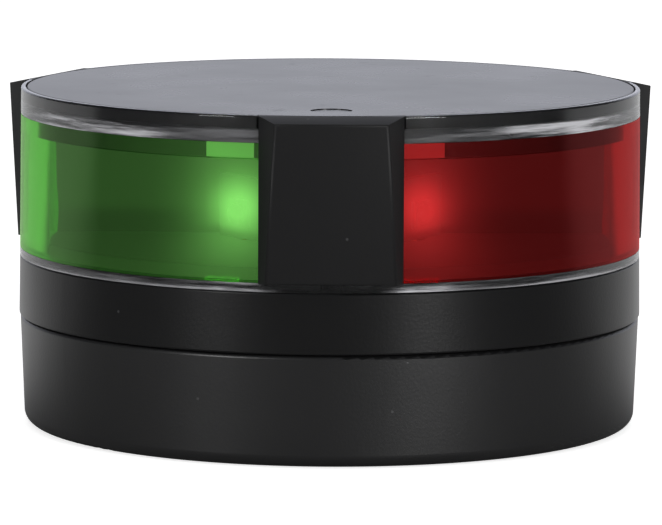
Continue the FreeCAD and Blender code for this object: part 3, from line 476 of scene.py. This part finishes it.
def rounded_copy(node_name, width):
    """A welded copy of a screen with its proud sharp edges rounded, in the node's place."""
    bm = bmesh.new()
    bm.from_mesh(nodes[node_name].data)
    bm.transform(nodes[node_name].matrix_world)
    bmesh.ops.remove_doubles(bm, verts=bm.verts, dist=0.002 * MM)
    bmesh.ops.dissolve_limit(bm, angle_limit=math.radians(1), verts=bm.verts, edges=bm.edges)
    sharp = math.radians(12)
    bmesh.ops.bevel(
        bm,
        geom=[e for e in bm.edges if e.is_manifold and e.calc_face_angle() > sharp and proud(e)],
        offset=width,
        offset_type="OFFSET",
        segments=3,
        profile=0.5,
        affect="EDGES",
        material=-1,
        clamp_overlap=True,
    )
    bmesh.ops.recalc_face_normals(bm, faces=bm.faces)
    mesh = bpy.data.meshes.new(node_name + "_rounded")
    bm.to_mesh(mesh)
    bm.free()
    for face in mesh.polygons:
        face.use_smooth = True
    mesh.set_sharp_from_angle(angle=math.radians(35))
    made = bpy.data.objects.new(node_name + "_rounded", mesh)
    bpy.context.scene.collection.objects.link(made)
    mesh.materials.append(MATERIALS[NODE_FINISH[node_name]])
    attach(made, "head")
    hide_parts(node_name)


for screen_name in ("bow_screen", "port_screen", "starboard_screen"):
    rounded_copy(screen_name, 0.3 * MM)


# ---------------------------------------------------------------- studio


def heading(azimuth, elevation):
    """The unit vector towards an azimuth, 0 dead ahead, and an elevation, both in degrees."""
    a, e = math.radians(azimuth), math.radians(elevation)
    return Vector((math.sin(a) * math.cos(e), -math.cos(a) * math.cos(e), math.sin(e)))


def stand(made, target, away, distance):
    """Links an object a distance from a target and turns it to face the target."""
    bpy.context.scene.collection.objects.link(made)
    made.location = target + away * distance
    made.rotation_mode = "QUATERNION"
    made.rotation_quaternion = (-away).to_track_quat("-Z", "Y")


def make_camera():
    """Nearly dead ahead, seven degrees above the horizon, from far off."""
    focus, distance = Vector((0, 0, 20.44 * MM)), 678 * MM
    azimuth, elevation, roll = -0.2, 7.37, 0.3
    data = bpy.data.cameras.new("camera")
    data.sensor_width = 36
    data.lens = 283.8
    data.shift_x = 0.002
    data.clip_start, data.clip_end = 0.01, 20
    camera = bpy.data.objects.new("camera", data)
    stand(camera, focus, heading(azimuth, elevation), distance)
    level = camera.rotation_quaternion.to_matrix()
    camera.rotation_quaternion = (level @ Matrix.Rotation(math.radians(roll), 3, "Z")).to_quaternion()
    bpy.context.scene.camera = camera


# Soft boxes: azimuth, elevation, distance, width, height and power.
LAMPS = {
    "key": (-42, 11, 0.9, 0.22, 0.36, 1.7),
    "fill": (34.5, 11, 0.9, 0.22, 0.36, 2.9),
    "top": (0, 88, 0.9, 0.7, 0.7, 1.8),
}


def make_lamps():
    """Soft boxes aimed at the middle of the object."""
    target = Vector((0, 0, 20 * MM))
    for name, (azimuth, elevation, distance, width, height, power) in LAMPS.items():
        data = bpy.data.lights.new(name, "AREA")
        data.shape = "RECTANGLE"
        data.size, data.size_y = width, height
        data.energy = power
        stand(bpy.data.objects.new(name, data), target, heading(azimuth, elevation), distance)


def seen_paths(s):
    """1 for rays from the camera, for mirrored rays and for rays through glass."""
    outputs = ("Is Camera Ray", "Is Glossy Ray", "Is Transmission Ray")
    return s.node("ShaderNodeLightPath", output=outputs)


def make_world():
    """White to the camera. Rays off and through the object see it brightest behind, as in a light tent."""
    world = bpy.data.worlds.new("tent")
    bpy.context.scene.world = world
    s = Shader(world, "Generated")
    camera, glossy, through = seen_paths(s)
    rear = s.y.ramp(0.55, 0.97)
    seen_in_gloss = (rear * 0.86 + 0.08) * glossy * (1 - through)
    seen_in_glass = through * (rear * 0.25 + 0.37)
    lighting = (1 - glossy) * 0.45
    level = camera.math("MAXIMUM", seen_in_glass)
    level = level + (1 - level.clamp()) * (seen_in_gloss + lighting)
    tint = s.mix(glossy, grey(1), (0.88, 0.90, 1.0))
    s.surface(s.node("ShaderNodeBackground", None, {"Color": tint, "Strength": level}))


def make_floor():
    """A plain white table that keeps the object's shadow."""
    mesh = bpy.data.meshes.new("floor")
    bm = bmesh.new()
    bmesh.ops.create_grid(bm, x_segments=1, y_segments=1, size=3.0)
    bmesh.ops.translate(bm, vec=(0, 0, -0.1 * MM), verts=bm.verts)
    bm.to_mesh(mesh)
    bm.free()
    floor = bpy.data.objects.new("floor", mesh)
    bpy.context.scene.collection.objects.link(floor)

    s = new_finish("white_table")
    camera, glossy, through = seen_paths(s)
    # Pale, and dark ahead of the object. Mirrored rays see it dim up to the object's middle, and rays
    # through glass see it dark off to the sides.
    tone = s.mix(s.noise(scale=8, detail=2), grey(0.66), grey(0.70))
    tone = s.mix(1 - s.y.ramp(-0.14, -0.05), tone, grey(0.16))
    tone = s.mix(glossy * (1 - s.y.ramp(-0.02, 0.04)), tone, grey(0.25))
    straight_back = (s.y / s.reach()).ramp(0.57, 0.69)
    tone = s.mix(through * (1 - straight_back), tone, grey(0.05))
    # White to the camera, and lit behind the object for mirrored rays and rays through glass.
    mirrored = glossy * (1 - through) * s.y.ramp(-0.01, 0.08) * 0.3
    glow = camera * 0.75 + (1 - camera) * (mirrored + through * straight_back * 0.08)
    closure = s.principled(Base_Color=tone, Roughness=0.8, Emission_Color=grey(1), Emission_Strength=glow)
    mesh.materials.append(s.surface(closure))


make_camera()
make_world()
make_floor()
make_lamps()
bpy.context.scene.view_settings.view_transform = "Standard"
